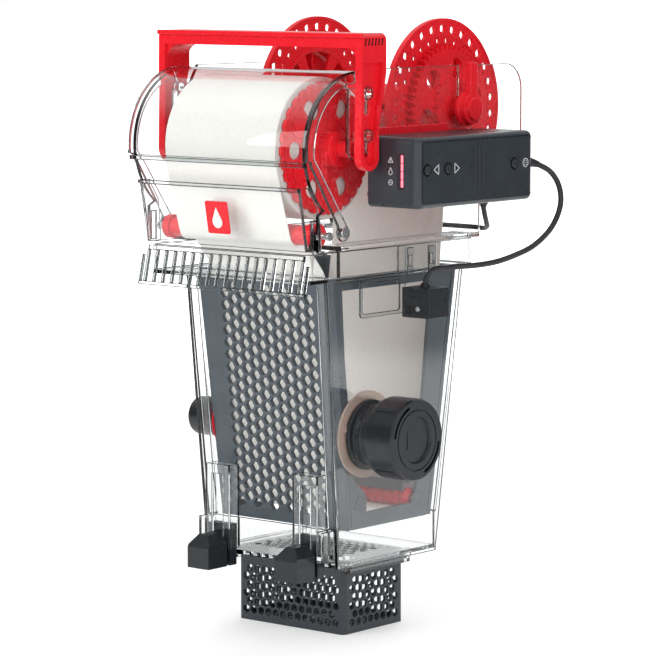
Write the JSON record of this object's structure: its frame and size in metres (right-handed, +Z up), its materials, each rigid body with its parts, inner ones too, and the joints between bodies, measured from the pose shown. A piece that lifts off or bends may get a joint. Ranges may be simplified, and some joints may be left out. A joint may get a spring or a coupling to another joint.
{
  "type": "automatic fleece roller filter",
  "caption": "Aquarium roller filter: clear sump housing with a lift-out fleece cartridge, red reels and handle, side controller, capped inlet and media basket.",
  "frame": {"origin": "centre of the underside of the media basket, which the filter stands on", "axes": "+X along the roller axes, towards the capped inlet and the controller; the front with the fleece roll faces -Y; +Z up"},
  "size_m": [0.232, 0.2482, 0.435],
  "materials": {
    "clear_acrylic": "clear cast acrylic, polished",
    "smoked_disc": "clear smoked plastic",
    "dark_plastic": "fine moulded texture",
    "frame_plastic": "satin moulded",
    "red_plastic": "semi gloss moulded",
    "steel": "turned",
    "led_lens": "milky",
    "board": "solder mask",
    "motor_metal": "satin",
    "cable_jacket": "matte",
    "fleece": "soft non-woven",
    "cardboard": "pressed board",
    "nylon": "natural nylon"
  },
  "bodies": {
    "housing": {"base_plate": "clear_acrylic", "left_wall": "clear_acrylic", "right_wall": "clear_acrylic", "overflow_tray": "clear_acrylic", "overflow_comb": "clear_acrylic", "leg_rail_left": "clear_acrylic", "leg_rail_right": "clear_acrylic", "inlet_neck": "dark_plastic", "inlet_gasket": "smoked_disc", "wall_latches": "clear_acrylic"},
    "cartridge": {"front_screen": "frame_plastic", "rear_screen": "frame_plastic", "side_frame_left": "frame_plastic", "side_frame_right": "frame_plastic", "roller_guard": "frame_plastic", "roller_pins": "steel", "inlet_rings": "red_plastic", "carrier_left": "clear_acrylic", "carrier_right": "clear_acrylic", "front_panel": "clear_acrylic", "badge": "red_plastic", "hinge_pins": "steel", "handle_guides": "clear_acrylic", "controller_case": "dark_plastic", "controller_back": "red_plastic", "led_window": "led_lens", "circuit_board": "board", "gear_motor": "motor_metal", "cable_cap": "dark_plastic", "sensor_bracket": "clear_acrylic", "sensor_housing": "dark_plastic", "sensor_cable": "cable_jacket", "power_lead": "cable_jacket", "dc_socket": "dark_plastic", "fleece_web": "fleece", "screws": "steel"},
    "left_foot": {"foot_left": "dark_plastic"},
    "right_foot": {"foot_right": "dark_plastic"},
    "cap": {"inlet_cap": "dark_plastic"},
    "plug": {"blanking_plug": "dark_plastic"},
    "basket": {"media_basket": "frame_plastic"},
    "handle": {"lift_handle": "red_plastic"},
    "cover": {"front_cover": "clear_acrylic"},
    "supply_roll": {"fleece_roll": "fleece", "roll_core": "cardboard", "roll_hub_left": "red_plastic", "roll_hub_right": "red_plastic"},
    "take_up_reel": {"reel_core": "red_plastic", "reel_flange_left": "red_plastic", "reel_flange_right": "red_plastic", "reel_gear": "red_plastic", "reel_axle": "red_plastic"},
    "latch": {"reel_latch": "red_plastic"},
    "top_roller": {"guide_roller": "red_plastic"},
    "lower_front_roller": {"front_roller": "red_plastic"},
    "lower_rear_roller": {"rear_roller": "red_plastic"},
    "pinion": {"drive_pinion": "nylon"},
    "back_key": {"button_back": "dark_plastic"},
    "forward_key": {"button_forward": "dark_plastic"},
    "mode_key": {"button_mode": "dark_plastic"}
  },
  "joints": [
    {"name": "cartridge_lift", "type": "slide", "parent": "housing", "child": "cartridge", "axis": [0, 0, 1], "range_m": [0, 0.2]},
    {"name": "basket_slide", "type": "slide", "parent": "housing", "child": "basket", "axis": [0, 1, 0], "range_m": [0, 0.07]},
    {"name": "left_foot_height", "type": "slide", "parent": "housing", "child": "left_foot", "axis": [0, 0, 1], "range_m": [0, 0.035]},
    {"name": "right_foot_height", "type": "slide", "parent": "housing", "child": "right_foot", "axis": [0, 0, 1], "range_m": [0, 0.035]},
    {"name": "inlet_cap_twist", "type": "hinge", "parent": "housing", "child": "cap", "pos_m": [0.097, -0.026, 0.145], "axis": [1, 0, 0], "range_deg": [0, 90]},
    {"name": "plug_twist", "type": "hinge", "parent": "housing", "child": "plug", "pos_m": [-0.08, -0.026, 0.145], "axis": [-1, 0, 0], "range_deg": [0, 90]},
    {"name": "handle_slide", "type": "slide", "parent": "cartridge", "child": "handle", "axis": [0, 0, 1], "range_m": [0, 0.012]},
    {"name": "cover_hinge", "type": "hinge", "parent": "cartridge", "child": "cover", "pos_m": [0, -0.073, 0.291], "axis": [1, 0, 0], "range_deg": [0, 80]},
    {"name": "latch_twist", "type": "hinge", "parent": "cartridge", "child": "latch", "pos_m": [0.085, 0.066, 0.371], "axis": [-1, 0, 0], "range_deg": [0, 90]},
    {"name": "reel_spin", "type": "hinge", "parent": "cartridge", "child": "take_up_reel", "pos_m": [0, 0.066, 0.371], "axis": [1, 0, 0], "continuous": true},
    {"name": "supply_spin", "type": "hinge", "parent": "cartridge", "child": "supply_roll", "pos_m": [0, -0.058, 0.347], "axis": [1, 0, 0], "continuous": true},
    {"name": "top_roller_spin", "type": "hinge", "parent": "cartridge", "child": "top_roller", "pos_m": [0, -0.084, 0.289], "axis": [1, 0, 0], "continuous": true},
    {"name": "front_roller_spin", "type": "hinge", "parent": "cartridge", "child": "lower_front_roller", "pos_m": [0, -0.027, 0.095], "axis": [1, 0, 0], "continuous": true},
    {"name": "rear_roller_spin", "type": "hinge", "parent": "cartridge", "child": "lower_rear_roller", "pos_m": [0, 0.037, 0.091], "axis": [1, 0, 0], "continuous": true},
    {"name": "pinion_spin", "type": "hinge", "parent": "cartridge", "child": "pinion", "pos_m": [0.063, 0.036, 0.32371], "axis": [1, 0, 0], "continuous": true},
    {"name": "back_key_press", "type": "slide", "parent": "cartridge", "child": "back_key", "axis": [-1, 0, 0], "range_m": [0, 0.0007], "stiffness_N_per_m": 400},
    {"name": "forward_key_press", "type": "slide", "parent": "cartridge", "child": "forward_key", "axis": [-1, 0, 0], "range_m": [0, 0.0007], "stiffness_N_per_m": 400},
    {"name": "mode_key_press", "type": "slide", "parent": "cartridge", "child": "mode_key", "axis": [-1, 0, 0], "range_m": [0, 0.0007], "stiffness_N_per_m": 400}
  ],
  "couplings": [
    {"joint": "supply_spin", "follows": "reel_spin", "ratio": 0.32323},
    {"joint": "top_roller_spin", "follows": "reel_spin", "ratio": 2.2857},
    {"joint": "front_roller_spin", "follows": "reel_spin", "ratio": 2.2857},
    {"joint": "rear_roller_spin", "follows": "reel_spin", "ratio": 2.2857},
    {"joint": "pinion_spin", "follows": "reel_spin", "ratio": -3.5714}
  ]
}
